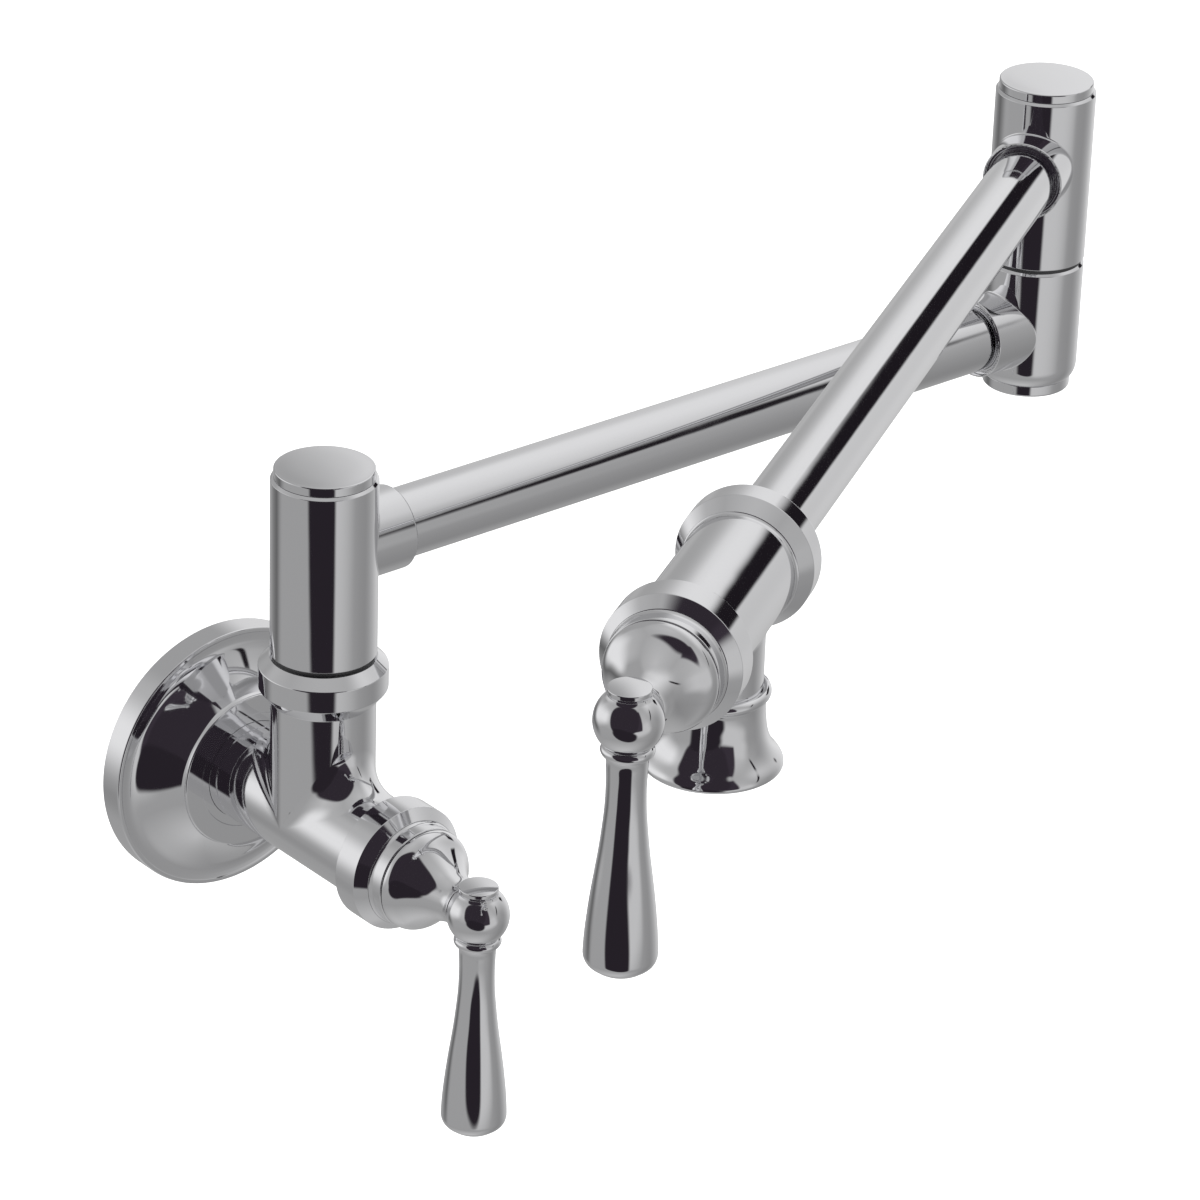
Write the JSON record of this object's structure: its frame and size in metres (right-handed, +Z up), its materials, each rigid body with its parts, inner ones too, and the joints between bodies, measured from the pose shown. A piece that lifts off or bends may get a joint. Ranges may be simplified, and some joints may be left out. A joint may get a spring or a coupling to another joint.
{
  "type": "pot filler tap",
  "caption": "Wall-mounted pot filler with two folding arms, a lever valve at the wall, another at the spout and a bell-shaped nozzle.",
  "frame": {"origin": "centre of the wall flange's back, on the wall plane and on the inlet's axis", "axes": "+Z up, +Y into the wall, -Y out towards the hob, +X along the first arm in the stored pose"},
  "size_m": [0.341, 0.2526, 0.2202],
  "materials": {
    "polished_chrome": "polished",
    "turned_brass": "turned",
    "stainless_steel": "satin",
    "black_rubber": "matte",
    "black_bearing": "matte",
    "white_nylon": "matte",
    "white_ceramic": "ground ceramic"
  },
  "bodies": {
    "wall_body": {"wall_plate": "stainless_steel", "shank_screws": "stainless_steel", "flange": "polished_chrome", "flange_ring": "black_rubber", "tee_body": "polished_chrome", "wall_swivel_post": "turned_brass", "wall_swivel_seals": "black_rubber", "wall_swivel_washer": "black_bearing", "wall_keeper": "stainless_steel", "wall_keeper_screw": "stainless_steel", "inlet_cartridge": "turned_brass", "inlet_seat_seal": "black_rubber", "inlet_fixed_disc": "white_ceramic", "inlet_cartridge_seal": "black_rubber", "inlet_bonnet_ring": "polished_chrome"},
    "first_arm": {"arm_1_sleeve": "polished_chrome", "arm_1_cap": "polished_chrome", "arm_1_tube": "polished_chrome", "arm_1_gaskets": "black_rubber", "elbow_lower_sleeve": "polished_chrome", "elbow_bottom_cap": "polished_chrome", "elbow_swivel_post": "turned_brass", "elbow_swivel_seals": "black_rubber", "elbow_swivel_washer": "black_bearing", "elbow_keeper": "stainless_steel", "elbow_keeper_screw": "stainless_steel"},
    "second_arm": {"arm_2_sleeve": "polished_chrome", "arm_2_cap": "polished_chrome", "arm_2_tube": "polished_chrome", "arm_2_gaskets": "black_rubber", "outlet_body": "polished_chrome", "outlet_nozzle": "polished_chrome", "nozzle_washer": "black_rubber", "aerator_housing": "white_nylon", "aerator_screens": "stainless_steel", "outlet_cartridge": "turned_brass", "outlet_seat_seal": "black_rubber", "outlet_fixed_disc": "white_ceramic", "outlet_cartridge_seal": "black_rubber", "outlet_bonnet_ring": "polished_chrome"},
    "inlet_handle": {"inlet_stem": "turned_brass", "inlet_turning_disc": "white_ceramic", "inlet_handle_hub": "polished_chrome", "inlet_lever": "polished_chrome", "inlet_lever_button": "polished_chrome", "inlet_set_screw": "stainless_steel"},
    "outlet_handle": {"outlet_stem": "turned_brass", "outlet_turning_disc": "white_ceramic", "outlet_handle_hub": "polished_chrome", "outlet_lever": "polished_chrome", "outlet_lever_button": "polished_chrome", "outlet_set_screw": "stainless_steel"}
  },
  "joints": [
    {"name": "wall_swivel", "type": "hinge", "parent": "wall_body", "child": "first_arm", "pos_m": [0, -0.0482, 0.0797], "axis": [0, 0, 1], "range_deg": [-180, 0]},
    {"name": "elbow_swivel", "type": "hinge", "parent": "first_arm", "child": "second_arm", "pos_m": [0.256, -0.0482, 0.13095], "axis": [0, 0, 1], "continuous": true},
    {"name": "inlet_valve", "type": "hinge", "parent": "wall_body", "child": "inlet_handle", "pos_m": [0, -0.0482, 0], "axis": [0, -1, 0], "range_deg": [0, 90]},
    {"name": "outlet_valve", "type": "hinge", "parent": "second_arm", "child": "outlet_handle", "pos_m": [-0.00463, -0.20854, 0.13095], "axis": [-0.8517, -0.524, 0], "range_deg": [0, 90]}
  ]
}
